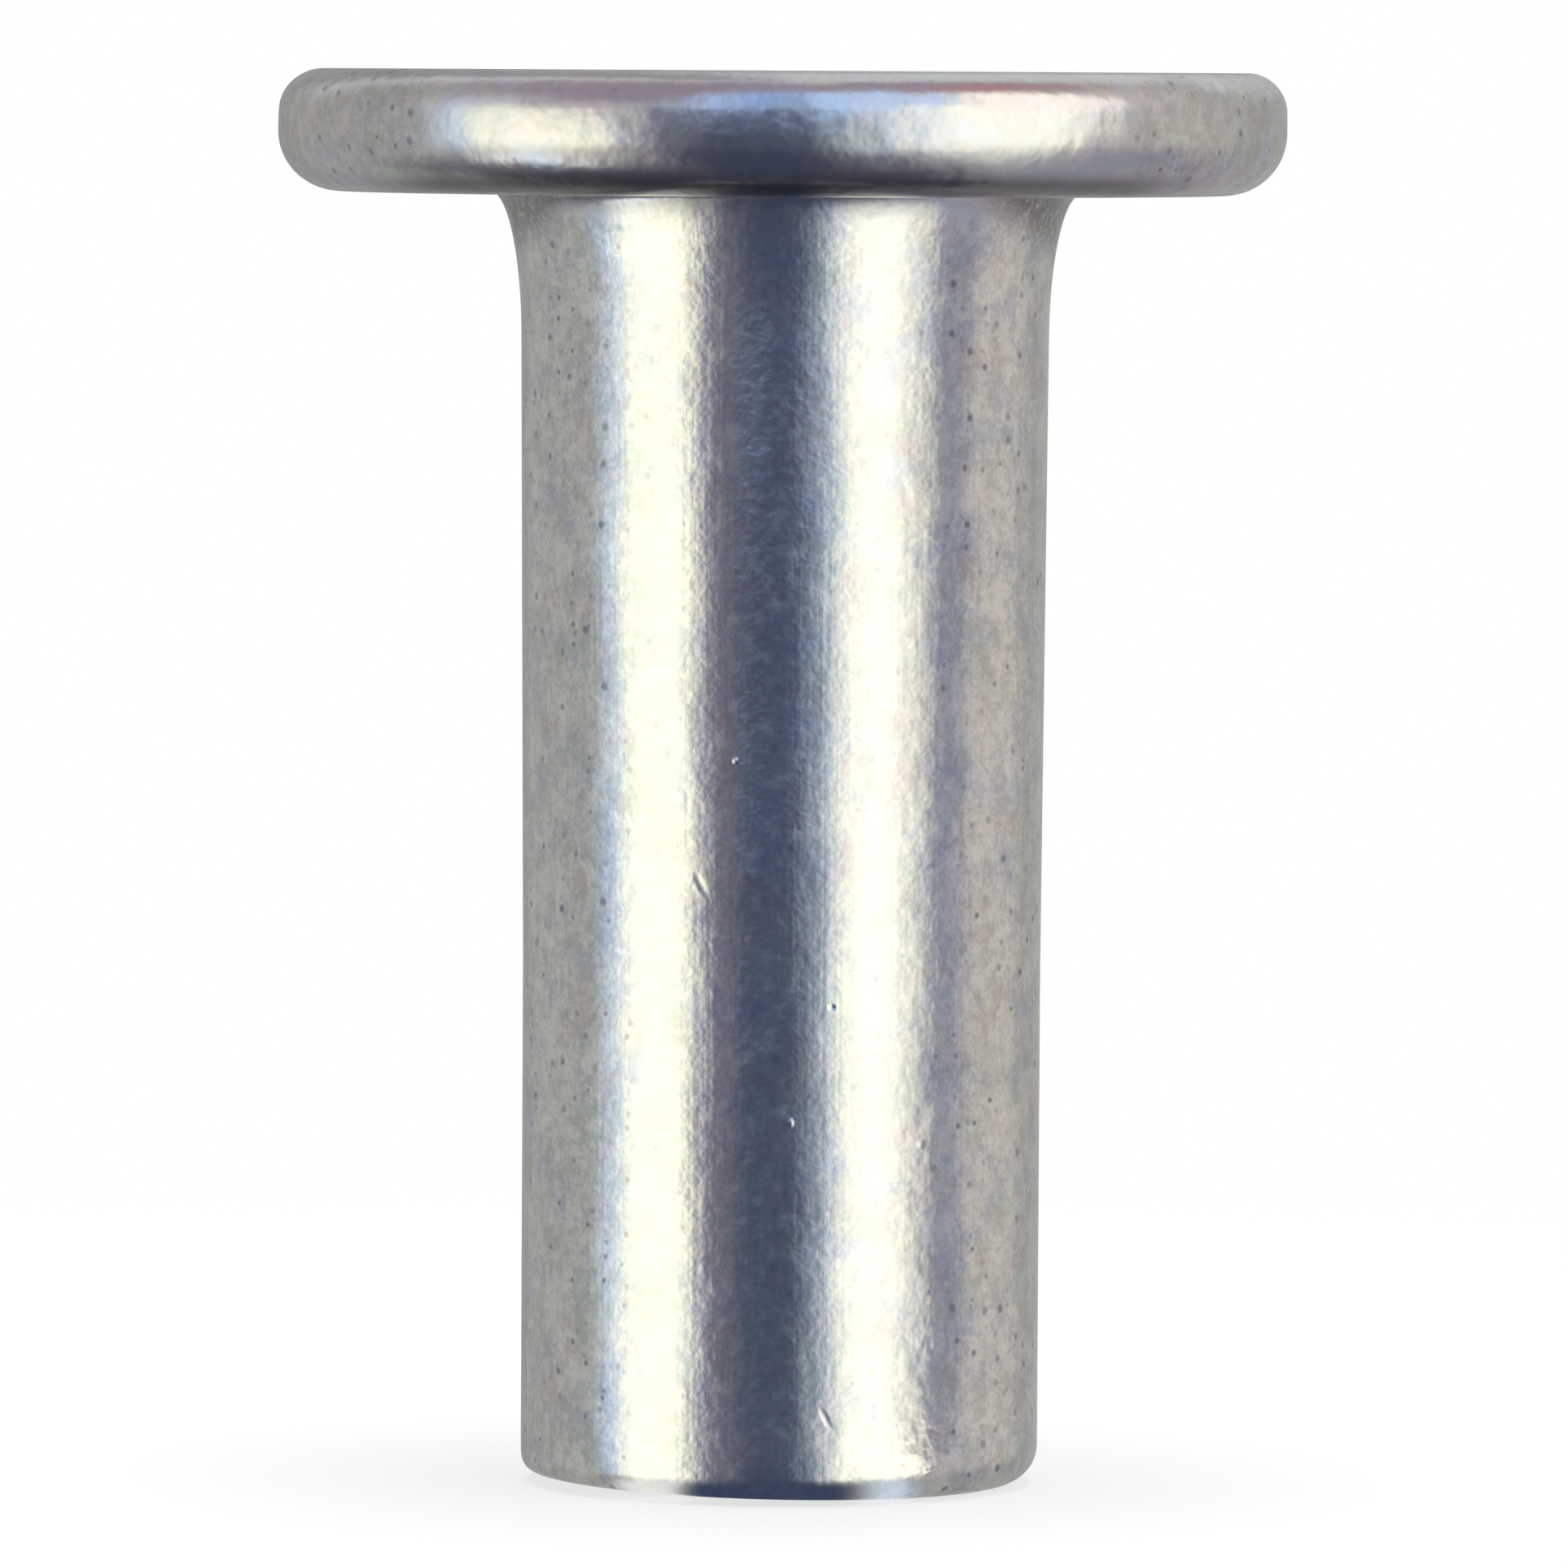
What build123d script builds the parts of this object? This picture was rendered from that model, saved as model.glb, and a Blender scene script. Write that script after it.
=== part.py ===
from build123d import *

import os

# Flat head solid rivet, cold-headed in one piece from aluminium wire.
# Millimetres, +Z up. The origin is the centre of the shank's end face. The rivet stands
# on that face, with its head at the top.

# Shank, as it comes out of the heading die
shank_diameter = 6.0  # across the parallel stretch, which goes first through the hole
shank_length = 14.95  # from the end face to the underside of the head
end_edge_radius = 0.45  # rolled edge between the parallel stretch and the end face

# Swell, where heading the wire has fattened the shank a little
swell_length = 7.3  # from the foot of the neck down to the parallel stretch
swell_growth = 0.106  # how much more the shank measures across at the foot of the neck

# Neck, the long thin flare that carries the shank into the head
neck_reach = 0.363  # outwards from the shank, along the underside of the head
neck_drop = 1.63  # down the shank from the underside of the head

# Head, a flat disc whose rim has a small round above and a larger one below
head_diameter = 11.68
head_thickness = 1.415
upper_rim_radius = 0.45
lower_rim_radius = 0.72
rim_land_least = 0.05  # straight band that is always left between the two rim rounds


def rim_rounds() -> tuple[float, float]:
    """Give the upper and lower rim radii, eased together where the head is too thin."""
    room = head_thickness - rim_land_least
    ease = min(1.0, room / (upper_rim_radius + lower_rim_radius))
    return upper_rim_radius * ease, lower_rim_radius * ease


def half_section() -> Face:
    """Draw half of the rivet's section in the XZ plane, on the +X side of its axis."""
    shank_radius = shank_diameter / 2
    neck_radius = shank_radius + swell_growth / 2
    head_radius = head_diameter / 2
    upper_round, lower_round = rim_rounds()

    underside = shank_length
    neck_foot = underside - neck_drop
    swell_foot = neck_foot - swell_length
    top = underside + head_thickness

    with BuildSketch(Plane.XZ) as section:
        with BuildLine():
            end_face = Line((0, 0), (shank_radius - end_edge_radius, 0))
            end_edge = CenterArc(
                (shank_radius - end_edge_radius, end_edge_radius),
                end_edge_radius,
                start_angle=-90,
                arc_size=90,
            )
            parallel = Line(end_edge @ 1, (shank_radius, swell_foot))
            swell = Line(parallel @ 1, (neck_radius, neck_foot))
            neck = EllipticalCenterArc(
                (neck_radius + neck_reach, neck_foot),
                x_radius=neck_reach,
                y_radius=neck_drop,
                start_angle=180,
                arc_size=-90,
            )
            seat = Line(neck @ 1, (head_radius - lower_round, underside))
            lower_rim = CenterArc(
                (head_radius - lower_round, underside + lower_round),
                lower_round,
                start_angle=-90,
                arc_size=90,
            )
            land = Line(lower_rim @ 1, (head_radius, top - upper_round))
            upper_rim = CenterArc(
                (head_radius - upper_round, top - upper_round),
                upper_round,
                start_angle=0,
                arc_size=90,
            )
            crown = Line(upper_rim @ 1, (0, top))
            Line(crown @ 1, end_face @ 0)
        make_face()
    return section.sketch.face()


def rivet() -> Solid:
    """Turn the half section about the axis into the one solid that the rivet is."""
    return revolve(half_section(), axis=Axis.Z).solid()


os.makedirs("parts", exist_ok=True)
export_step(rivet(), "parts/rivet.step")
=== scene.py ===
# A flat head solid rivet in cold-headed aluminium, standing on the cropped end of its
# shank inside a light tent. Lengths are metres, +Z runs up the shank to the head, and the
# camera looks along +Y. The finish is worked out in millimetres.

import logging
import math
from collections.abc import Mapping
from dataclasses import dataclass
from enum import Enum
from typing import Union

import bmesh
import bpy
from mathutils import Matrix, Vector, noise


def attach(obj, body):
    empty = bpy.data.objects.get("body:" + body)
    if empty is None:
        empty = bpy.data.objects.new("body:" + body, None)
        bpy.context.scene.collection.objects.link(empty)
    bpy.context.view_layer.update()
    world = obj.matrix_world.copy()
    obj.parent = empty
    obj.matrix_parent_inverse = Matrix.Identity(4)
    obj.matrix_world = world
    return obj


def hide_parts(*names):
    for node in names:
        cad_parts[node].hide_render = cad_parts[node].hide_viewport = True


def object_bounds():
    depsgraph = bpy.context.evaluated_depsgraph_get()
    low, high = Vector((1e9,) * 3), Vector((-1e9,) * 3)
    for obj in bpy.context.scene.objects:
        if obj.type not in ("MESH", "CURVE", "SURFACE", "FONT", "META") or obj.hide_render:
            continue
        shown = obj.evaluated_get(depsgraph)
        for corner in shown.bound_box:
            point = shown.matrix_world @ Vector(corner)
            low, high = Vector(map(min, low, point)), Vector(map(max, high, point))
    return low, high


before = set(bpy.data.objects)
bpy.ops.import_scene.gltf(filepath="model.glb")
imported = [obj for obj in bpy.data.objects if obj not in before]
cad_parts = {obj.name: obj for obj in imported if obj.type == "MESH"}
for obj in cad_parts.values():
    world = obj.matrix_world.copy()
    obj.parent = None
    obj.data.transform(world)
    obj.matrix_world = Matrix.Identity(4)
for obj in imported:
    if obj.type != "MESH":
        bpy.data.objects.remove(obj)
CAD_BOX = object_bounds()

MM = 0.001
SLACK = 0.01 * MM  # how far a vertex may lie over the underside and still be part of it
PAST_POLE = 120.0  # degrees up or down at which a panel's soft end is out of sight

Colour = tuple[float, float, float]
Pair = tuple[float, float]
Span = tuple[float, float]  # where a smooth rise starts and where it is complete

log = logging.getLogger("rivet")


def smooth_step(value: float, low: float, high: float) -> float:
    """Rise smoothly from 0 at low to 1 at high.

    Args:
        value: where to read the rise.
        low: where it starts.
        high: where it is complete. It may be below low, and the rise is then a fall.

    Returns:
        A share from 0 to 1.
    """
    share = min(1.0, max(0.0, (value - low) / (high - low)))
    return share * share * (3.0 - 2.0 * share)


class Signal:
    """A shader socket that takes part in Python arithmetic."""

    def __init__(self, graph: "Graph", socket: bpy.types.NodeSocket) -> None:
        """Wrap one output socket of a graph's tree."""
        self.graph = graph
        self.socket = socket

    def beside(self, output: str | int) -> "Signal":
        """Give another output of the same node."""
        return Signal(self.graph, self.socket.node.outputs[output])

    def _math(self, operation: str, first: "Term", second: "Term") -> "Signal":
        """Add a Math node for one operation."""
        return self.graph.node("ShaderNodeMath", {"operation": operation}, {0: first, 1: second})

    def __add__(self, other: "Term") -> "Signal":
        """Add."""
        return self._math("ADD", self, other)

    def __radd__(self, other: "Term") -> "Signal":
        """Add to a number on the left."""
        return self._math("ADD", other, self)

    def __sub__(self, other: "Term") -> "Signal":
        """Subtract."""
        return self._math("SUBTRACT", self, other)

    def __rsub__(self, other: "Term") -> "Signal":
        """Subtract from a number on the left."""
        return self._math("SUBTRACT", other, self)

    def __mul__(self, other: "Term") -> "Signal":
        """Multiply."""
        return self._math("MULTIPLY", self, other)

    def __rmul__(self, other: "Term") -> "Signal":
        """Multiply a number on the left."""
        return self._math("MULTIPLY", other, self)

    def __truediv__(self, other: "Term") -> "Signal":
        """Divide."""
        return self._math("DIVIDE", self, other)

    def __pow__(self, other: "Term") -> "Signal":
        """Raise to a power."""
        return self._math("POWER", self, other)


Term = Union[Signal, float]
Input = Union[Signal, float, tuple[float, ...]]


@dataclass(frozen=True)
class Pattern:
    """A noise: its lumps to the millimetre, its finer layers and their strength, its stretch."""

    pitch: float
    detail: float = 2.0
    rough: float = 0.5
    stretch: tuple[float, float, float] = (1.0, 1.0, 1.0)


class Grain(Enum):
    """The noises that break up the metal."""

    DRAW_LINES = Pattern(14.0, 1.0, stretch=(1.0, 1.0, 0.02))
    PEEL = Pattern(18.0, 1.0)
    PEBBLES = Pattern(7.5, 1.0)
    HAMMERING = Pattern(3.0)
    CREASES = Pattern(3.8)
    WAVES = Pattern(0.8, stretch=(1.0, 1.0, 0.7))
    CLOUDS = Pattern(1.7, 5.0, 0.62)
    STAIN = Pattern(2.1)
    BLOOM = Pattern(1.5)
    SCUFFS = Pattern(5.0, 3.0)
    SPECKLE = Pattern(4.5, 3.0, 0.6)


class Graph:
    """Adds nodes to one node tree."""

    def __init__(self, tree: bpy.types.NodeTree) -> None:
        """Start with an empty tree."""
        self.tree = tree
        tree.nodes.clear()

    def node(
        self,
        kind: str,
        settings: Mapping[str, object] | None = None,
        inputs: Mapping[str | int, Input] | None = None,
        output: str | int = 0,
    ) -> Signal:
        """Add one node.

        Args:
            kind: the node's type.
            settings: its own settings, which are made first.
            inputs: a value or a link for each socket, by name or place.
            output: the socket that the result stands for.

        Returns:
            The wanted output of the new node, or nothing's for an output node.
        """
        made = self.tree.nodes.new(kind)
        for name, value in (settings or {}).items():
            setattr(made, name, value)
        for name, value in (inputs or {}).items():
            if isinstance(value, Signal):
                self.tree.links.new(value.socket, made.inputs[name])
            else:
                made.inputs[name].default_value = value
        return Signal(self, made.outputs[output] if made.outputs else None)

    def place(self, stretch: tuple[float, float, float] = (1.0, 1.0, 1.0)) -> Signal:
        """Give the object's own coordinates in millimetres.

        Args:
            stretch: what to multiply them by.

        Returns:
            The stretched coordinates.
        """
        spot = self.node("ShaderNodeTexCoord", output="Object")
        factors = tuple(part / MM for part in stretch)
        return self.node("ShaderNodeMapping", inputs={"Vector": spot, "Scale": factors})

    def axes(self, vector: Signal) -> tuple[Signal, Signal, Signal]:
        """Split a vector into its X, Y and Z."""
        split = self.node("ShaderNodeSeparateXYZ", inputs={0: vector})
        return split, split.beside(1), split.beside(2)

    def rise(self, value: Signal, low: float, high: float) -> Signal:
        """Rise smoothly from 0 where a value is low to 1 where it is high.

        Args:
            value: what the rise follows.
            low: where it starts.
            high: where it is complete. It may be below low, and the rise is then a fall.

        Returns:
            A share from 0 to 1.
        """
        return self.node(
            "ShaderNodeMapRange",
            {"interpolation_type": "SMOOTHSTEP"},
            {0: value, 1: low, 2: high},
        )

    def grain(self, kind: Grain) -> Signal:
        """Give one of the metal's noises.

        Args:
            kind: which one.

        Returns:
            The noise, from 0 to 1.
        """
        pattern = kind.value
        inputs = {
            "Vector": self.place(pattern.stretch),
            "Scale": pattern.pitch,
            "Detail": pattern.detail,
            "Roughness": pattern.rough,
        }
        return self.node("ShaderNodeTexNoise", inputs=inputs)

    def mix(self, share: Term, first: Signal | Colour, second: Signal | Colour) -> Signal:
        """Mix two colours.

        Args:
            share: how much of the second colour there is, from 0 to 1.
            first: the colour at share 0.
            second: the colour at share 1.

        Returns:
            The mixed colour.
        """
        sides = [(*side, 1.0) if isinstance(side, tuple) else side for side in (first, second)]
        inputs = {0: share, 6: sides[0], 7: sides[1]}
        return self.node("ShaderNodeMix", {"data_type": "RGBA"}, inputs, output=2)


def new_material(name: str) -> tuple[bpy.types.Material, Graph]:
    """Start a material.

    Args:
        name: the material's name.

    Returns:
        The material and the graph that fills its empty tree.
    """
    material = bpy.data.materials.new(name)
    material.use_nodes = True
    return material, Graph(material.node_tree)


def turn_full(shape: bmesh.types.BMesh, steps: int) -> None:
    """Turn everything in a mesh once round the Z axis.

    Args:
        shape: the mesh to turn.
        steps: how many steps the turn has.
    """
    bmesh.ops.spin(
        shape,
        geom=shape.verts[:] + shape.edges[:],
        cent=(0.0, 0.0, 0.0),
        axis=(0.0, 0.0, 1.0),
        angle=math.tau,
        steps=steps,
        use_merge=True,
    )


def link_mesh(name: str, shape: bmesh.types.BMesh) -> bpy.types.Object:
    """Turn a finished bmesh into a smooth-shaded object at the origin.

    Args:
        name: the object's name.
        shape: the mesh, which is freed.

    Returns:
        The new object.
    """
    mesh = bpy.data.meshes.new(name)
    shape.to_mesh(mesh)
    shape.free()
    mesh.shade_smooth()
    made = bpy.data.objects.new(name, mesh)
    bpy.context.scene.collection.objects.link(made)
    return made


@dataclass(frozen=True)
class Nick:
    """A small dent in the shank, or where its depth is negative, a bead that stands proud.

    The azimuth runs from the front towards +X, and the turn from upright, in degrees. The
    rest is in millimetres.
    """

    azimuth: float
    height: float
    width: float
    length: float
    turn: float
    depth: float

    def cover(self, graph: Graph, shank_radius: float) -> Signal:
        """Say how near the middle of the nick each spot is.

        Args:
            graph: the material's graph.
            shank_radius: the radius on which the nick lies, in millimetres.

        Returns:
            1 at the middle of the nick and 0 past its edge.
        """
        around = math.radians(self.azimuth)
        middle = (shank_radius * math.sin(around), -shank_radius * math.cos(around), self.height)
        spot = graph.node(
            "ShaderNodeMapping",
            {"vector_type": "TEXTURE"},
            {
                "Vector": graph.place(),
                "Location": middle,
                "Rotation": (0.0, math.radians(self.turn), around),
                "Scale": (self.width, self.width, self.length),
            },
        )
        away = graph.node("ShaderNodeVectorMath", {"operation": "LENGTH"}, {0: spot}, "Value")
        return 1.0 - graph.rise(away, 0.0, 1.0)


NICKS = (
    Nick(azimuth=36.0, height=0.37, width=0.110, length=0.055, turn=-15.0, depth=-0.005),
    Nick(azimuth=33.0, height=4.13, width=0.075, length=0.080, turn=0.0, depth=-0.010),
    Nick(azimuth=-57.0, height=2.95, width=0.060, length=0.065, turn=0.0, depth=0.008),
    Nick(azimuth=21.0, height=12.55, width=0.045, length=0.150, turn=-40.0, depth=0.003),
    Nick(azimuth=11.0, height=1.02, width=0.055, length=0.190, turn=-28.0, depth=0.004),
    Nick(azimuth=11.8, height=5.72, width=0.060, length=0.060, turn=0.0, depth=0.008),
    Nick(azimuth=3.0, height=4.40, width=0.050, length=0.080, turn=0.0, depth=-0.007),
    Nick(azimuth=-9.4, height=8.52, width=0.055, length=0.055, turn=0.0, depth=-0.007),
    Nick(azimuth=-17.0, height=7.10, width=0.070, length=0.200, turn=-30.0, depth=0.004),
)


@dataclass(frozen=True)
class Pits:
    """Small pits, one to a cell of the metal's skin and most of them faint.

    The spacing and the depth are in millimetres, the radii are shares of the spacing, and the
    wall runs between shares of a pit's own radius.
    """

    colour: Colour = (0.29, 0.30, 0.35)
    depth: float = 0.0010
    spacing: float = 0.20
    least_radius: float = 0.21
    radius_spread: float = 0.18
    wall: Span = (1.0, 0.3)
    strengths: Span = (0.2, 1.0)

    def cover(self, graph: Graph) -> Signal:
        """Say how deep in a pit each spot is.

        Args:
            graph: the material's graph.

        Returns:
            1 at the bottom of a strong pit and 0 on the skin between the pits.
        """
        inputs = {"Vector": graph.place(), "Scale": 1.0 / self.spacing}
        away = graph.node("ShaderNodeTexVoronoi", {"feature": "F1"}, inputs)
        size = graph.node("ShaderNodeSeparateColor", inputs={0: away.beside("Color")})
        radius = size * self.radius_spread + self.least_radius
        return graph.rise(away / radius, *self.wall) * graph.rise(size.beside(1), *self.strengths)


@dataclass(frozen=True)
class Tarnish:
    """The faint tints that cloud the metal."""

    plum: Colour = (0.755, 0.690, 0.710)
    sage: Colour = (0.685, 0.740, 0.715)
    slate: Colour = (0.655, 0.685, 0.790)
    head: Colour = (0.67, 0.66, 0.66)
    stain: Span = (0.35, 0.65)
    bloom: Span = (0.42, 0.66)
    clouds: Span = (0.30, 0.70)

    def tint(self, graph: Graph, clean: Colour, cloudy: Signal, on_head: Signal) -> Signal:
        """Cloud the clean metal.

        Args:
            graph: the material's graph.
            clean: the clean metal's colour.
            cloudy: how cloudy the metal is.
            on_head: the share of the head's finish.

        Returns:
            The metal's colour.
        """
        stain = graph.rise(graph.grain(Grain.STAIN), *self.stain)
        bloom = graph.rise(graph.grain(Grain.BLOOM), *self.bloom)
        tarnish = graph.mix(bloom, graph.mix(stain, self.plum, self.sage), self.slate)
        clouds = graph.rise(cloudy, *self.clouds)
        shank = graph.mix(clouds, clean, tarnish)
        return graph.mix(on_head, shank, graph.mix(clouds, tarnish, self.head))


@dataclass(frozen=True)
class PaintedNeckShade:
    """Painted shade, broken into patches, in the corners at the sides of the neck and in the crevice
    under the rim.

    Heights are millimetres below the head's underside. How far out a spot lies to the side
    is given by its square, in square millimetres.
    """

    # the colour that the painted shade, and the dull film too, darken the metal towards
    colour: Colour = (0.22, 0.22, 0.22)
    corner: Span = (3.4, 7.6)
    corner_taper: float = 6.5
    corner_top: Span = (-0.05, 0.0)
    corner_patches: Span = (0.3, 1.1)
    corner_strength: float = 0.9
    crevice_foot: Span = (0.02, -0.03)
    crevice_top: Span = (-0.34, -0.12)
    crevice_sides: Span = (24.0, 14.0)
    crevice_strength: float = 0.95

    def cover(self, graph: Graph, patches: Signal, shank_top: float) -> Signal:
        """Say how much painted shade lies on each spot.

        Args:
            graph: the material's graph.
            patches: a noise from 0 to 2 that breaks the painted shade up.
            shank_top: how high the shank ends, in millimetres.

        Returns:
            The share of the metal that the painted shade darkens.
        """
        x_axis, _, height = graph.axes(graph.place())
        across = x_axis * x_axis
        below = shank_top - height
        # painted shade in the corners at the sides of the neck, just under the head
        corner = graph.rise(across - below * self.corner_taper, *self.corner)
        corner = corner * graph.rise(below, *self.corner_top)
        # painted shade in the crevice under the rim, which darkens the rim's reflection of the shank
        crevice = graph.rise(below, *self.crevice_foot) * graph.rise(below, *self.crevice_top)
        crevice = crevice * graph.rise(across, *self.crevice_sides) * (1.0 - corner)
        patched = corner * graph.rise(patches, *self.corner_patches)
        return patched * self.corner_strength + crevice * self.crevice_strength


@dataclass(frozen=True)
class Skin:
    """Where on the rivet each part of the finish lies, and the noises that the parts share."""

    on_head: Signal
    on_top: Signal
    on_flank: Signal
    creased: Signal
    pitted: Signal
    lines: Signal
    peel: Signal
    pebbles: Signal


@dataclass(frozen=True)
class HeadedAluminium:
    """Bright satin aluminium as the header and the tumbling barrel leave it.

    Lengths are millimetres. The draw lines, peel, pebbles, hammering, creases and waves are
    how far each of them moves the surface. The edges of the head's finish are heights from
    the head's underside, and those of the top's finish from its top. The flank's edges and
    the creases' are places across the shank, and flank_set_back, in square millimetres, moves
    the flank's edges out on the head.
    """

    colour: Colour = (0.84, 0.83, 0.815)
    tarnish: Tarnish = Tarnish()
    # painted shade in the neck's corners and in the crevice under the rim
    neck_shade: PaintedNeckShade = PaintedNeckShade()
    pits: Pits = Pits()
    shank_roughness: float = 0.158
    head_roughness: float = 0.21
    top_roughness: float = 0.38
    scuff_roughness: float = 0.11
    flank_film: float = 0.30
    top_film: float = 0.36
    draw_lines: float = 0.0012
    peel: float = 0.0012
    pebbles: float = 0.0036
    hammering: float = 0.0120
    creases: float = 0.0130
    waves: float = 0.024
    head_edge: Span = (-0.4, 0.1)
    top_edge: Span = (-0.05, -0.005)
    flank_edge: Span = (1.3, 2.1)
    flank_set_back: float = 13.0
    crease_start: Span = (0.9, 1.4)
    crease_end: Span = (2.1, 1.75)
    pebbles_on_head: float = 0.5
    scuffs_on_head: float = 0.4
    pits_off_flank: float = 0.20
    line_clouds: float = 0.2
    peel_clouds: float = 0.45
    cloud_speckle: float = 0.5
    top_speckle: float = 0.5
    speckle: Span = (0.25, 0.75)
    scuffs: Span = (0.45, 0.85)
    name: str = "headed aluminium"

    def material(self, shank_top: float, head_top: float, shank_radius: float) -> bpy.types.Material:
        """Make the metal.

        Args:
            shank_top: how high the shank ends and the head starts, in millimetres.
            head_top: how high the head ends, in millimetres.
            shank_radius: the radius on which the nicks lie, in millimetres.

        Returns:
            A material that reads the object's own coordinates.
        """
        material, graph = new_material(self.name)
        skin = self._skin(graph, shank_top, head_top)
        bump = graph.node(
            "ShaderNodeBump",
            inputs={
                "Strength": 1.0,
                "Distance": MM,
                "Height": self._relief(graph, skin, shank_radius),
            },
        )
        shader = graph.node(
            "ShaderNodeBsdfPrincipled",
            inputs={
                "Base Color": self._colour(graph, skin, shank_top),
                "Metallic": 1.0,
                "Roughness": self._roughness(graph, skin),
                "Normal": bump,
            },
        )
        graph.node("ShaderNodeOutputMaterial", inputs={"Surface": shader})
        return material

    def _skin(self, graph: Graph, shank_top: float, head_top: float) -> Skin:
        """Find where the parts of the finish lie.

        Args:
            graph: the material's graph.
            shank_top: how high the shank ends, in millimetres.
            head_top: how high the head ends, in millimetres.

        Returns:
            The parts' places, and the noises that they share.
        """
        x_axis, _, height = graph.axes(graph.place())
        on_head = graph.rise(height, *(shank_top + edge for edge in self.head_edge))
        across = x_axis * x_axis - on_head * self.flank_set_back
        on_flank = graph.rise(across, *(edge**2 for edge in self.flank_edge))
        creased = graph.rise(x_axis, *self.crease_start) * graph.rise(x_axis, *self.crease_end)
        reach = on_flank * (1.0 - self.pits_off_flank) + self.pits_off_flank
        return Skin(
            on_head=on_head,
            on_top=graph.rise(height, *(head_top + edge for edge in self.top_edge)),
            on_flank=on_flank,
            creased=creased * (1.0 - on_head),
            pitted=self.pits.cover(graph) * reach,
            lines=graph.grain(Grain.DRAW_LINES),
            peel=graph.grain(Grain.PEEL),
            pebbles=graph.grain(Grain.PEBBLES),
        )

    def _relief(self, graph: Graph, skin: Skin, shank_radius: float) -> Signal:
        """Work the surface up and down.

        Args:
            graph: the material's graph.
            skin: where the parts of the finish lie.
            shank_radius: the radius on which the nicks lie, in millimetres.

        Returns:
            How far each spot stands out, in millimetres.
        """
        relief = (skin.lines * self.draw_lines + skin.peel * self.peel) * (1.0 - skin.on_head)
        pebbled = 1.0 - skin.on_head * (1.0 - self.pebbles_on_head)
        relief = relief + skin.pebbles * pebbled * self.pebbles
        relief = relief + graph.grain(Grain.HAMMERING) * skin.on_head * self.hammering
        relief = relief + graph.grain(Grain.CREASES) * skin.creased * self.creases
        relief = relief + graph.grain(Grain.WAVES) * self.waves - skin.pitted * self.pits.depth
        for nick in NICKS:
            relief = relief - nick.cover(graph, shank_radius) * nick.depth
        return relief

    def _colour(self, graph: Graph, skin: Skin, shank_top: float) -> Signal:
        """Cloud the metal, then lay a dull film, painted shade in the neck's corners and under the
        rim, and the pits' shade on it.

        Args:
            graph: the material's graph.
            skin: where the parts of the finish lie.
            shank_top: how high the shank ends, in millimetres.

        Returns:
            The colour of each spot.
        """
        cloudy = graph.grain(Grain.CLOUDS)
        cloudy = cloudy + (skin.lines - 0.5) * (1.0 - skin.on_head) * self.line_clouds
        cloudy = cloudy + (skin.peel + skin.pebbles - 1.0) * self.peel_clouds
        speckle = graph.grain(Grain.SPECKLE) + (cloudy - 0.5) * self.cloud_speckle
        speckle = graph.rise(speckle, *self.speckle)
        film = speckle * skin.on_flank * (1.0 - skin.on_top) * self.flank_film
        film = film + ((speckle - 0.5) * self.top_speckle + 1.0) * skin.on_top * self.top_film
        # painted shade under the head; the dull film darkens towards the same colour
        painted_shade = self.neck_shade.cover(graph, skin.pebbles + skin.peel, shank_top)
        metal = self.tarnish.tint(graph, self.colour, cloudy, skin.on_head)
        filmed_and_shaded = graph.mix(painted_shade + film * (1.0 - painted_shade), metal, self.neck_shade.colour)
        return graph.mix(skin.pitted, filmed_and_shaded, self.pits.colour)

    def _roughness(self, graph: Graph, skin: Skin) -> Signal:
        """Scuff the polish of the shank, the head's sides and its top.

        Args:
            graph: the material's graph.
            skin: where the parts of the finish lie.

        Returns:
            The roughness of each spot.
        """
        polish = skin.on_head * (self.head_roughness - self.shank_roughness) + self.shank_roughness
        polish = polish + skin.on_top * (self.top_roughness - self.head_roughness)
        scuffed = 1.0 - skin.on_head * (1.0 - self.scuffs_on_head)
        scuffs = graph.rise(graph.grain(Grain.SCUFFS), *self.scuffs) * scuffed
        return polish + scuffs * self.scuff_roughness


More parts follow.
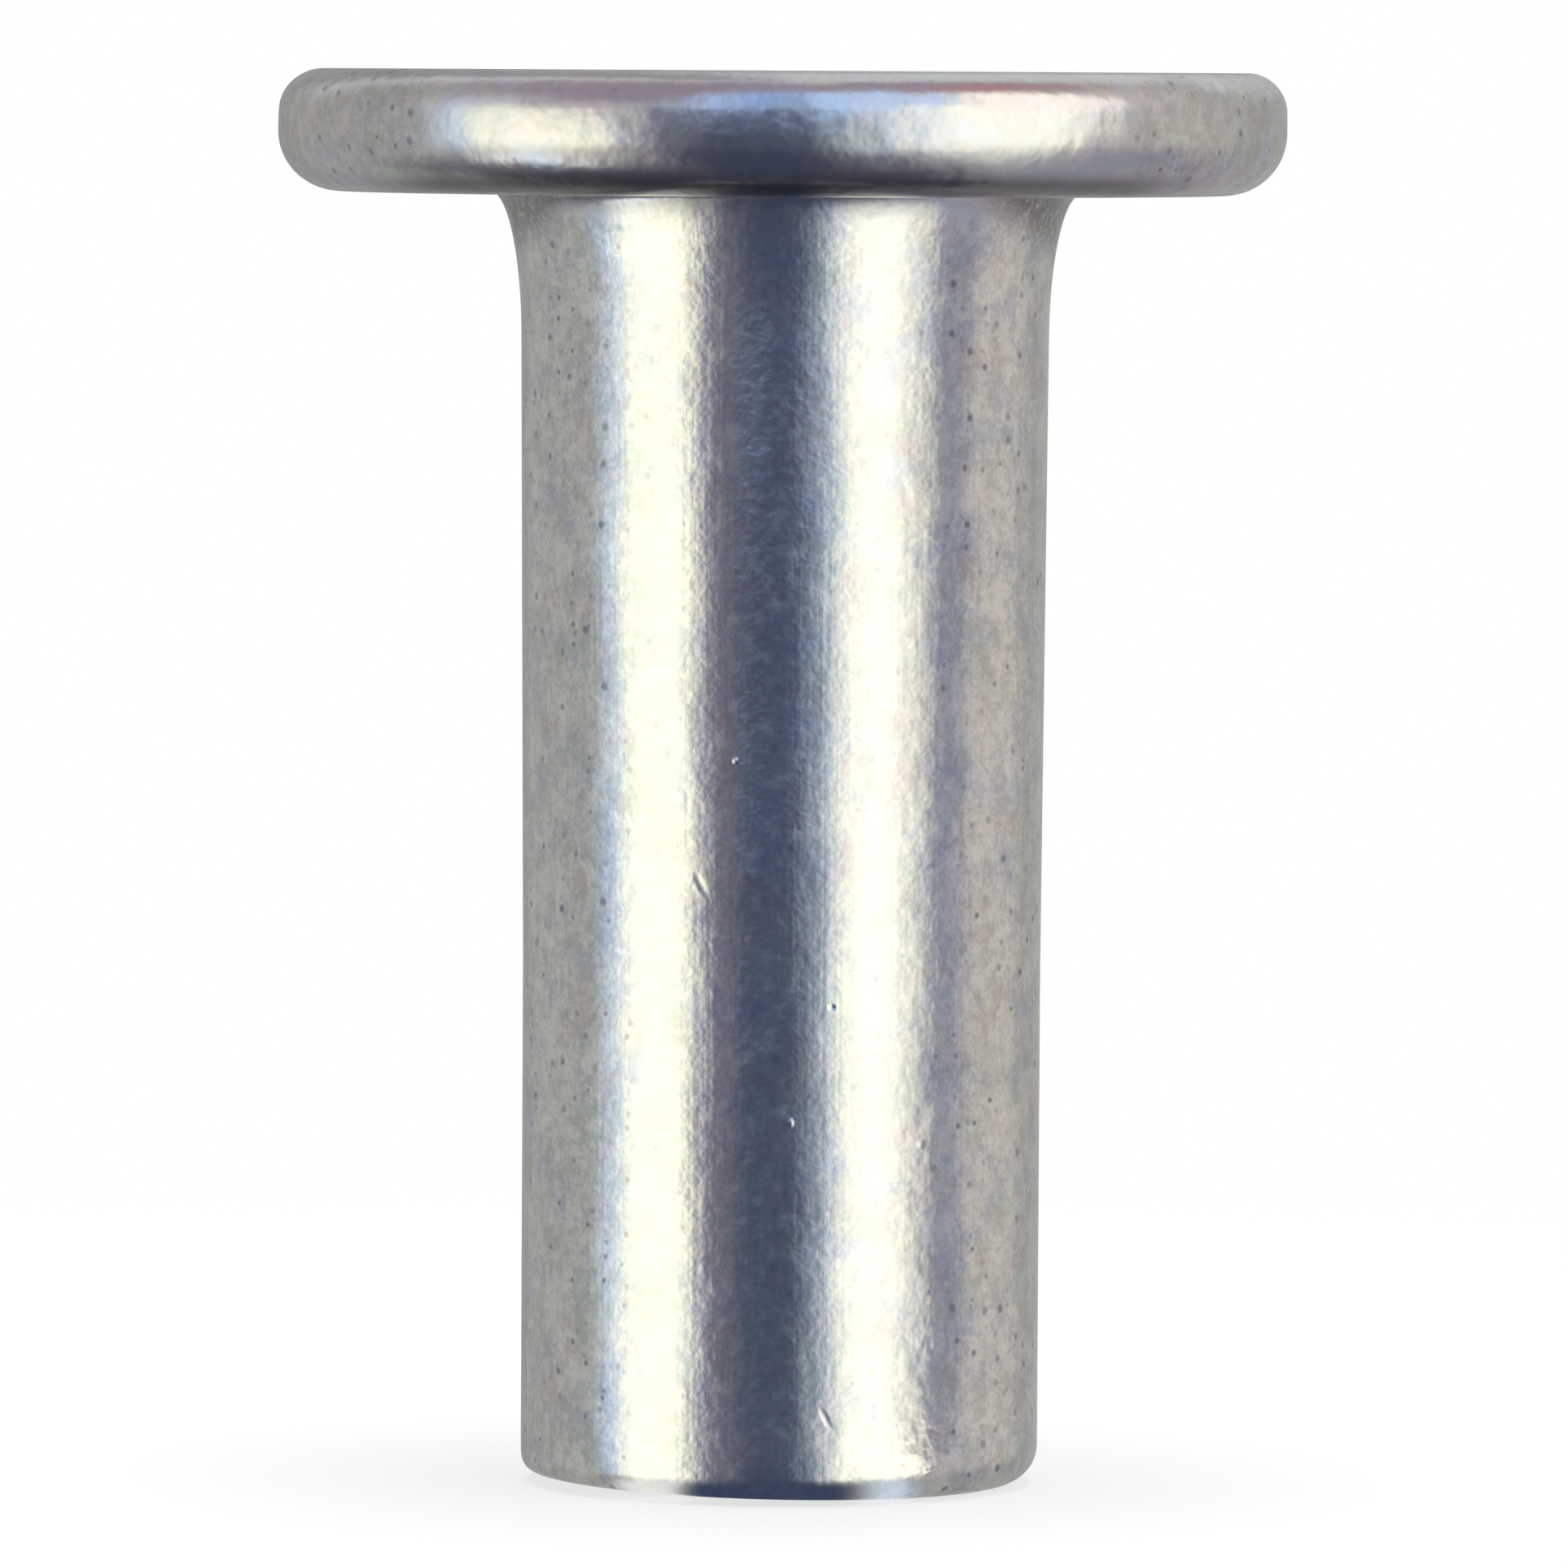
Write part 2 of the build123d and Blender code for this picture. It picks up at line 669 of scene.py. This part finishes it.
@dataclass
class SolidRivet:
    """The rivet, one piece of wire with a head formed on its upper end.

    Lengths are metres, apart from what shapes the rim: its setback, its crown and its lumps,
    each of them a number to the millimetre and a height, are worked out in millimetres. The
    rim's zone is given in shares of the head's radius and the crop's fade in radii of the end's
    edge. The powers say how square that edge is where it is rolled over and where it is sharp.
    """

    height: float
    head_radius: float
    finish: HeadedAluminium
    shank_radius: float = 3.0 * MM
    swell_growth: float = 0.053 * MM
    swell_length: float = 7.3 * MM
    neck_reach: float = 0.363 * MM
    neck_drop: float = 1.63 * MM
    head_thickness: float = 1.415 * MM
    upper_rim_radius: float = 0.45 * MM
    lower_rim_radius: float = 0.72 * MM
    end_edge_radius: float = 0.45 * MM
    facets: int = 360
    row: float = 0.2 * MM
    neck_segments: int = 24
    lower_rim_segments: int = 20
    edge_segments: int = 14
    weld: float = 1e-4 * MM
    crop_slope: float = 0.0197
    crop_fade: float = 3.0
    rolled_power: float = 2.0
    sharp_power: float = 5.0
    shank_offset: float = 0.042 * MM
    neck_tuck: float = 0.45
    tuck_facing: Span = (0.45, 0.95)
    rim_zone: Span = (0.78, 0.92)
    rim_setback: float = 0.010
    rim_lumps: tuple[Pair, ...] = ((0.5, 0.012), (1.2, 0.010), (2.6, 0.003))
    crown: float = 0.087
    crown_lean: float = 0.063

    @property
    def underside(self) -> float:
        """How high the underside of the head is."""
        return self.height - self.head_thickness

    @property
    def neck_radius(self) -> float:
        """How wide the shank is at the foot of the neck."""
        return self.shank_radius + self.swell_growth

    def build(self) -> bpy.types.Object:
        """Turn the outline into a solid, work its surface and dress it.

        Returns:
            The finished piece.
        """
        shape = bmesh.new()
        self._draw_outline(shape)
        turn_full(shape, self.facets)
        bmesh.ops.remove_doubles(shape, verts=shape.verts[:], dist=self.weld)
        self._crop_end(shape)
        self._flatten_neck(shape)
        self._bulge_rim(shape)
        self._shift_shank(shape)
        bmesh.ops.recalc_face_normals(shape, faces=shape.faces[:])
        piece = link_mesh("solid_rivet", shape)
        metal = self.finish.material(self.underside / MM, self.height / MM, self.shank_radius / MM)
        piece.data.materials.append(metal)
        return piece

    def _draw_outline(self, shape: bmesh.types.BMesh) -> None:
        """Draw half of the section in the XZ plane as one open line of edges.

        Args:
            shape: the empty mesh to draw it in.
        """
        neck_foot = self.underside - self.neck_drop
        swell_foot = neck_foot - self.swell_length
        lead = self.swell_growth * self.neck_drop / self.swell_length
        corners = [
            (0.0, 0.0),
            (self.shank_radius, 0.0),
            (self.shank_radius, swell_foot),
            (self.neck_radius + lead, self.underside),
            (self.head_radius, self.underside),
            (self.head_radius, self.height),
            (0.0, self.height),
        ]
        spots = [shape.verts.new((x, 0.0, z)) for x, z in corners]
        shape.faces.new(spots)
        edge, _, neck, low_rim, high_rim = spots[1:6]
        rounds = (
            (neck, self.neck_reach - lead, self.neck_drop, self.neck_segments),
            (edge, self.end_edge_radius, self.end_edge_radius, self.edge_segments),
            (low_rim, self.lower_rim_radius, self.lower_rim_radius, self.lower_rim_segments),
            (high_rim, self.upper_rim_radius, self.upper_rim_radius, self.edge_segments),
        )
        for corner, reach, drop, segments in rounds:
            self._round(shape, corner, reach, drop, segments)
        bmesh.ops.delete(shape, geom=shape.faces[:], context="FACES_ONLY")
        axis = [
            line for line in shape.edges if all(abs(end.co.x) < self.weld for end in line.verts)
        ]
        bmesh.ops.delete(shape, geom=axis, context="EDGES")
        for line in shape.edges[:]:
            cuts = math.ceil(line.calc_length() / self.row) - 1
            if cuts > 0:
                bmesh.ops.subdivide_edges(shape, edges=[line], cuts=cuts)

    def _round(
        self,
        shape: bmesh.types.BMesh,
        corner: bmesh.types.BMVert,
        reach: float,
        drop: float,
        segments: int,
    ) -> None:
        """Round one corner of the section as a quarter of an ellipse.

        Args:
            shape: the mesh that holds the section.
            corner: the vertex to round.
            reach: how far the round runs outwards.
            drop: how far it runs down or up.
            segments: how many edges it has.
        """
        squash = Matrix.Diagonal((1.0, 1.0, reach / drop, 1.0))
        bmesh.ops.transform(shape, matrix=squash, verts=shape.verts[:])
        bmesh.ops.bevel(
            shape,
            geom=[corner],
            offset=reach,
            offset_type="OFFSET",
            affect="VERTICES",
            segments=segments,
            profile=0.5,
            material=-1,
            clamp_overlap=False,
        )
        bmesh.ops.transform(shape, matrix=squash.inverted(), verts=shape.verts[:])

    def _crop_end(self, shape: bmesh.types.BMesh) -> None:
        """Cut the end a little off square, rolled over at +X and sharp at -X.

        Args:
            shape: the turned rivet.
        """
        radius = self.end_edge_radius
        flat = self.shank_radius - radius
        fade = self.crop_fade * radius
        for spot in shape.verts:
            if spot.co.z > fade:
                continue
            across = math.hypot(spot.co.x, spot.co.y)
            if across > flat and spot.co.z < radius:
                sharp = 0.5 - 0.5 * spot.co.x / across
                power = self.rolled_power + (self.sharp_power - self.rolled_power) * sharp
                angle = math.atan2(radius - spot.co.z, across - flat)
                out = math.cos(angle) ** (2.0 / power)
                down = math.sin(angle) ** (2.0 / power)
                spot.co.x *= (flat + radius * out) / across
                spot.co.y *= (flat + radius * out) / across
                spot.co.z = radius * (1.0 - down)
            lift = self.crop_slope * (self.shank_radius - spot.co.x)
            spot.co.z += lift * smooth_step(spot.co.z, fade, 0.0)

    def _flatten_neck(self, shape: bmesh.types.BMesh) -> None:
        """Make the neck oval, so that it spreads less at its front and back.

        Args:
            shape: the turned rivet.
        """
        neck_edge = self.neck_radius + self.neck_reach
        inner_rim = self.head_radius - self.lower_rim_radius
        for spot in shape.verts:
            across = math.hypot(spot.co.x, spot.co.y)
            spread = min(across, neck_edge) - self.neck_radius
            if spread <= 0.0 or spot.co.z > self.underside + SLACK:
                continue
            facing = smooth_step(abs(spot.co.y) / across, *self.tuck_facing)
            tuck = self.neck_tuck * facing * spread * smooth_step(across, inner_rim, neck_edge)
            spot.co.x *= 1.0 - tuck / across
            spot.co.y *= 1.0 - tuck / across

    def _bulge_rim(self, shape: bmesh.types.BMesh) -> None:
        """Crown the rim and give it the lumps of metal that flowed with no die around it.

        Args:
            shape: the turned rivet.
        """
        widest = self.underside + self.lower_rim_radius
        zone = [share * self.head_radius for share in self.rim_zone]
        for spot in shape.verts:
            across = math.hypot(spot.co.x, spot.co.y)
            share = smooth_step(across, *zone)
            if share == 0.0:
                continue
            lean = self.crown - self.crown_lean * spot.co.x / across
            crown = lean * max(0.0, (spot.co.z - widest) / MM) ** 2
            at = spot.co / MM
            lump = sum(depth * noise.noise(at * pitch) for pitch, depth in self.rim_lumps)
            outward = Vector((spot.co.x, spot.co.y, 0.0)) / across
            spot.co += outward * share * (lump - crown - self.rim_setback) * MM

    def _shift_shank(self, shape: bmesh.types.BMesh) -> None:
        """Set the shank a little off the middle of the head, as heading leaves it.

        Args:
            shape: the turned rivet.
        """
        neck_edge = self.neck_radius + self.neck_reach
        inner_rim = self.head_radius - self.lower_rim_radius
        for spot in shape.verts:
            if spot.co.z < self.underside + SLACK:
                across = math.hypot(spot.co.x, spot.co.y)
                spot.co.x += self.shank_offset * smooth_step(across, inner_rim, neck_edge)


@dataclass(frozen=True)
class Panel:
    """One lit or dark panel, in degrees round and up as the rivet sees it.

    The sides say how wide its soft left and right edges are, and the ends its low and high
    ones.
    """

    left: float
    right: float
    low: float
    high: float
    colour: Colour
    sides: Pair = (12.0, 12.0)
    ends: Pair = (14.0, 14.0)

    def share(self, around: float, up: float) -> float:
        """Say how much of this panel shows in one direction.

        Args:
            around: the direction's azimuth, from the camera's side towards +X.
            up: its height over the horizon.

        Returns:
            A share from 0 to 1, which fades over the panel's soft edges.
        """
        middle = (self.left + self.right) / 2
        half = (self.right - self.left) / 2
        offset = (around - middle + 180.0) % 360.0 - 180.0
        left, right = (edge / 2 for edge in self.sides)
        low, high = (edge / 2 for edge in self.ends)
        return (
            smooth_step(offset, -half - left, -half + left)
            * smooth_step(offset, half + right, half - right)
            * smooth_step(up, self.low - low, self.low + low)
            * smooth_step(up, self.high + high, self.high - high)
        )


class Cloth(Enum):
    """The tent's panels, in the order in which they are laid over its grey cloth.

    Each gives its left, right, low and high edges, its colour, and how soft its edges are.
    """

    RIGHT_WALL = Panel(88, 127, -PAST_POLE, PAST_POLE, (0.635, 0.60, 0.55), (10, 24))
    CROWN = Panel(-130, 130, 50, PAST_POLE, (0.40, 0.34, 0.39), (60, 60), (24, 14))
    LEFT_DUSK = Panel(-86, -18, 22, 90, (0.36, 0.31, 0.37), (24, 16), (34, 14))
    FLAG = Panel(-30, 15, -PAST_POLE, 12, (0.066, 0.083, 0.134), (12, 12), (10, 12))
    FLAG_WARM = Panel(-37, -20, -PAST_POLE, 6, (0.165, 0.155, 0.205), (12, 12), (10, 16))
    FLAG_EDGE = Panel(9, 22, -PAST_POLE, 8, (0.215, 0.26, 0.315), (9, 10), (10, 12))
    RIGHT_HAZE = Panel(18, 28, -PAST_POLE, 8, (0.60, 0.66, 0.74), (10, 8), (10, 12))
    LEFT_HAZE = Panel(-40, -33, -PAST_POLE, 6, (0.40, 0.40, 0.48), (8, 8), (10, 16))
    SKY_CARD = Panel(-20, 25, 10, 56, (0.28, 0.39, 0.61), (10, 20), (20, 20))
    SKY_LEFT = Panel(-21.5, -9, 7, 57, (0.60, 0.80, 1.18), (8, 10), (20, 20))
    SKY_RIGHT = Panel(6, 27, 5, 63, (0.61, 0.83, 1.24), (12, 10), (18, 20))
    RIGHT_LOW = Panel(54, 79, -60, -26, (0.66, 0.64, 0.68), (14, 14), (22, 14))
    LEFT_BLOOM = Panel(-92, -62, 8, 40, (0.66, 0.64, 0.68), (16, 14), (16, 26))
    LEFT_FRINGE = Panel(-87, -70, -22, 18, (0.72, 0.84, 0.98), (14, 8), (24, 34))
    LEFT_SOFTBOX = Panel(-75, -40.5, -33, 12, (1.50, 1.50, 1.20), (14, 13), (42, 34))
    LEFT_TAIL = Panel(-84, -62, -54, -34, (1.30, 1.38, 1.34), (12, 14), (8, 14))
    LEFT_NOTCH = Panel(-50, -36, -70, -26, (0.36, 0.35, 0.34), (20, 8), (10, 22))
    LEFT_DIM = Panel(-58, -36, 8, 28, (0.56, 0.54, 0.58), (12, 10), (12, 20))
    RIGHT_SOFTBOX = Panel(26.5, 77, -30, 34, (1.50, 1.48, 1.24), (17, 14), (34, 44))
    RIGHT_DIM = Panel(70, 90, -50, 0, (0.56, 0.53, 0.55), (14, 12), (20, 12))
    RIGHT_NOTCH = Panel(8, 36, -66, -38, (0.16, 0.16, 0.20), (8, 14), (10, 22))
    RIGHT_UPPER = Panel(46, 81, 9, 54, (1.50, 1.38, 1.24), (16, 8), (14, 14))
    RIGHT_SPILL = Panel(74, 88, 20, 48, (1.50, 1.34, 1.20), (8, 8), (16, 12))
    RIGHT_GEL = Panel(50, 124, 54, 70, (0.52, 0.29, 0.31), (14, 20), (10, 10))
    SKY_FRINGE = Panel(22, 40, 22, 62, (0.72, 0.88, 1.16), (10, 14), (20, 16))
    REAR_SKY = Panel(135, 225, 15, PAST_POLE, (0.72, 0.72, 0.71), (30, 30), (30, 20))
    LEFT_REAR = Panel(-176, -151, -PAST_POLE, PAST_POLE, (0.37, 0.37, 0.365), (14, 14))
    LEFT_SHADE = Panel(-125, -82, -PAST_POLE, -34, (0.18, 0.18, 0.20), (14, 16), (10, 20))
    BELOW = Panel(-200, 200, -PAST_POLE, -54, (0.090, 0.085, 0.115), (10, 10), (10, 30))
    FLAG_FOOT = Panel(-34, 22, -PAST_POLE, -28, (0.048, 0.060, 0.100), (20, 22), (10, 26))
    RIGHT_FOOT = Panel(70, 180, -62, -18, (0.42, 0.40, 0.42), (18, 30), (20, 24))


class FootCard(Enum):
    """The small cards round the foot, in the order in which they lie on grey paper."""

    LEFT = Panel(-41, -24, -PAST_POLE, PAST_POLE, (0.95, 0.97, 0.92), (12, 8))
    FRONT = Panel(-22, 20, -PAST_POLE, PAST_POLE, (0.054, 0.070, 0.125), (8, 12))
    RIGHT = Panel(24, 34, -PAST_POLE, PAST_POLE, (0.74, 0.84, 0.98), (12, 12))


def bearing(spot: Vector) -> tuple[float, float]:
    """Give a spot's azimuth from the front and its height over the horizon, in degrees."""
    around = math.atan2(spot.x, -spot.y)
    return math.degrees(around), math.degrees(math.asin(spot.normalized().z))


def lay_panels(panels: type[Enum], ground: Colour, around: float, up: float) -> Vector:
    """Give the colour of overlapping panels in one direction.

    Args:
        panels: the panels, the lowest first.
        ground: the colour under them.
        around: the direction's azimuth.
        up: its height over the horizon.

    Returns:
        The colour of the light from there.
    """
    colour = Vector(ground)
    for panel in (entry.value for entry in panels):
        colour = colour.lerp(Vector(panel.colour), panel.share(around, up))
    return colour


def hang_cloth(name: str, shape: bmesh.types.BMesh) -> bpy.types.Object:
    """Hang one finished sheet of cloth that glows, and thins out, as its tones say.

    Args:
        name: the sheet's name, and its material's.
        shape: the sheet, with a tone on each vertex, which is freed.

    Returns:
        The sheet, which the camera looks through.
    """
    material, graph = new_material(name)
    tone = graph.node("ShaderNodeAttribute", {"attribute_name": "tone"}, output="Color")
    bare = graph.node("ShaderNodeBsdfTransparent")
    glow = graph.node("ShaderNodeEmission", inputs={"Color": tone, "Strength": 1.0})
    cloth = graph.node("ShaderNodeMixShader", inputs={0: tone.beside("Alpha"), 1: bare, 2: glow})
    graph.node("ShaderNodeOutputMaterial", inputs={"Surface": cloth})
    material.cycles.emission_sampling = "NONE"
    sheet = link_mesh(name, shape)
    sheet.data.materials.append(material)
    sheet.visible_camera = False
    return sheet


def show_to_metal_only(sheet: bpy.types.Object) -> None:
    """Keep a sheet's light and shadow off the floor."""
    sheet.visible_diffuse = False
    sheet.visible_shadow = False


@dataclass
class LightTent:
    """A round tent about the rivet, a flag close to its shank and cards at its foot."""

    centre: float
    radius: float = 0.6
    cloth: Colour = (0.455, 0.455, 0.435)
    columns: int = 160
    flag: Panel = Panel(49.7, 71.7, -60, 36.5, (0.325, 0.34, 0.40), (32, 10), (8, 6))
    flag_reach: float = 8.2 * MM
    flag_columns: int = 240
    flag_rows: int = 80
    card_rings: tuple[float, float, float] = (2.2 * MM, 3.2 * MM, 3.9 * MM)
    card_drop: float = 0.01 * MM
    card_columns: int = 180
    paper: Colour = (0.40, 0.40, 0.39)

    def build(self) -> None:
        """Make the tent, the flag and the cards, all of which the camera looks through."""
        self._pitch_tent()
        self._stand_flag()
        self._lay_cards()

    def _pitch_tent(self) -> None:
        """Pitch the tent, a ball of cloth about the rivet's middle."""
        shape = bmesh.new()
        bmesh.ops.create_uvsphere(
            shape, u_segments=self.columns, v_segments=self.columns // 2, radius=self.radius
        )
        tone = shape.verts.layers.float_color.new("tone")
        for spot in shape.verts:
            spot[tone] = (*lay_panels(Cloth, self.cloth, *bearing(spot.co)), 1.0)
        bmesh.ops.translate(shape, vec=(0.0, 0.0, self.centre), verts=shape.verts[:])
        hang_cloth("light_tent", shape)

    def _stand_flag(self) -> None:
        """Stand the flag close to the shank, so low that the rim looks over it."""
        shape = bmesh.new()
        ends = [shape.verts.new((self.flag_reach, 0.0, end)) for end in (-self.centre, self.centre)]
        upright = shape.edges.new(ends)
        bmesh.ops.subdivide_edges(shape, edges=[upright], cuts=self.flag_rows)
        turn_full(shape, self.flag_columns)
        tone = shape.verts.layers.float_color.new("tone")
        for spot in shape.verts:
            spot[tone] = (*self.flag.colour, self.flag.share(*bearing(spot.co)))
        bare = [spot for spot in shape.verts if spot[tone][3] == 0.0]
        bmesh.ops.delete(shape, geom=bare, context="VERTS")
        bmesh.ops.translate(shape, vec=(0.0, 0.0, self.centre), verts=shape.verts[:])
        show_to_metal_only(hang_cloth("near_flag", shape))

    def _lay_cards(self) -> None:
        """Lay the cards about the foot, just under the floor that hides them."""
        shape = bmesh.new()
        _, middle, edge = self.card_rings
        rings = [shape.verts.new((reach, 0.0, -self.card_drop)) for reach in self.card_rings]
        for ends in zip(rings, rings[1:]):
            shape.edges.new(ends)
        turn_full(shape, self.card_columns)
        tone = shape.verts.layers.float_color.new("tone")
        for spot in shape.verts:
            around, _ = bearing(spot.co)
            cover = smooth_step(math.hypot(spot.co.x, spot.co.y), edge, middle)
            spot[tone] = (*lay_panels(FootCard, self.paper, around, 0.0), cover)
        show_to_metal_only(hang_cloth("foot_cards", shape))


@dataclass
class Studio:
    """The pale floor, the lamp above it, the white beyond it and the camera.

    Lengths are metres, apart from where the floor whitens, which is in millimetres from the
    rivet, and the lens. The camera's pitch and roll are degrees.
    """

    floor_radius: float = 0.45
    floor_facets: int = 96
    floor_colour: Colour = (0.86, 0.86, 0.86)
    floor_glow: float = 0.72
    whitening: Span = (8.0, 40.0)
    lamp_height: float = 0.30
    lamp_size: float = 0.22
    lamp_power: float = 0.9
    camera_distance: float = 0.154
    camera_side: float = 0.058 * MM
    camera_pitch: float = 3.07
    camera_roll: float = 0.33
    camera_lens: float = 305.4
    camera_clip: float = 0.0154

    def build(self, height: float) -> None:
        """Set the stage.

        Args:
            height: how high the top of the rivet is, which is where the camera is too.
        """
        LightTent(centre=height / 2).build()
        self._lay_floor()
        self._hang_lamp()
        self._whiten_world()
        self._set_camera(height)

    def _lay_floor(self) -> None:
        """Lay the floor, whose white grows with the distance from the rivet."""
        shape = bmesh.new()
        bmesh.ops.create_circle(
            shape, cap_ends=True, segments=self.floor_facets, radius=self.floor_radius
        )
        floor = link_mesh("floor", shape)
        material, graph = new_material("pale floor")
        x_axis, y_axis, _ = graph.axes(graph.place())
        away = (x_axis * x_axis + y_axis * y_axis) ** 0.5
        rays = [
            graph.node("ShaderNodeLightPath", output=name)
            for name in ("Is Camera Ray", "Is Glossy Ray", "Is Transmission Ray")
        ]
        seen = rays[0] + rays[1] + rays[2]
        white = self.floor_glow + graph.rise(away, *self.whitening) * (1.0 - self.floor_glow)
        cloth = graph.node("ShaderNodeBsdfDiffuse", inputs={"Color": (*self.floor_colour, 1.0)})
        glow = graph.node("ShaderNodeEmission", inputs={"Strength": 1.0})
        both = graph.node("ShaderNodeMixShader", inputs={0: seen * white, 1: cloth, 2: glow})
        graph.node("ShaderNodeOutputMaterial", inputs={"Surface": both})
        material.cycles.emission_sampling = "NONE"
        floor.data.materials.append(material)
        floor.visible_glossy = False

    def _hang_lamp(self) -> None:
        """Hang a broad lamp over the rivet for the floor and its soft shadow."""
        light = bpy.data.lights.new("overhead", "AREA")
        light.shape = "DISK"
        light.size = self.lamp_size
        light.energy = self.lamp_power
        lamp = bpy.data.objects.new("overhead", light)
        lamp.location = (0.0, 0.0, self.lamp_height)
        lamp.visible_glossy = False
        lamp.visible_camera = False
        bpy.context.scene.collection.objects.link(lamp)

    def _whiten_world(self) -> None:
        """Put plain white behind everything."""
        world = bpy.data.worlds.new("white")
        world.use_nodes = True
        graph = Graph(world.node_tree)
        white = graph.node("ShaderNodeBackground", inputs={"Color": (1.0, 1.0, 1.0, 1.0)})
        graph.node("ShaderNodeOutputWorld", inputs={"Surface": white})
        world.cycles.sampling_method = "NONE"
        bpy.context.scene.world = world

    def _set_camera(self, height: float) -> None:
        """Aim a long lens from level with the head, a little downwards.

        Args:
            height: how high the camera stands.
        """
        optics = bpy.data.cameras.new("camera")
        optics.lens = self.camera_lens
        optics.clip_start = self.camera_clip
        camera = bpy.data.objects.new("camera", optics)
        tilt = Matrix.Rotation(math.radians(90.0 - self.camera_pitch), 4, "X")
        roll = Matrix.Rotation(math.radians(self.camera_roll), 4, "Z")
        stand = Matrix.Translation((self.camera_side, -self.camera_distance, height))
        camera.matrix_world = stand @ tilt @ roll
        bpy.context.scene.collection.objects.link(camera)
        bpy.context.scene.camera = camera


def main() -> None:
    """Build the rivet and its studio."""
    logging.basicConfig(level=logging.INFO)
    bpy.context.scene.view_settings.view_transform = "Standard"
    low, high = CAD_BOX
    rivet = SolidRivet(
        height=high.z - low.z,
        head_radius=(high.x - low.x) / 2,
        finish=HeadedAluminium(),
    )
    piece = rivet.build()
    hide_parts("rivet")
    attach(piece, "root")
    log.info("%s has %d faces", piece.name, len(piece.data.polygons))
    Studio().build(rivet.height)


if __name__ == "__main__":
    main()
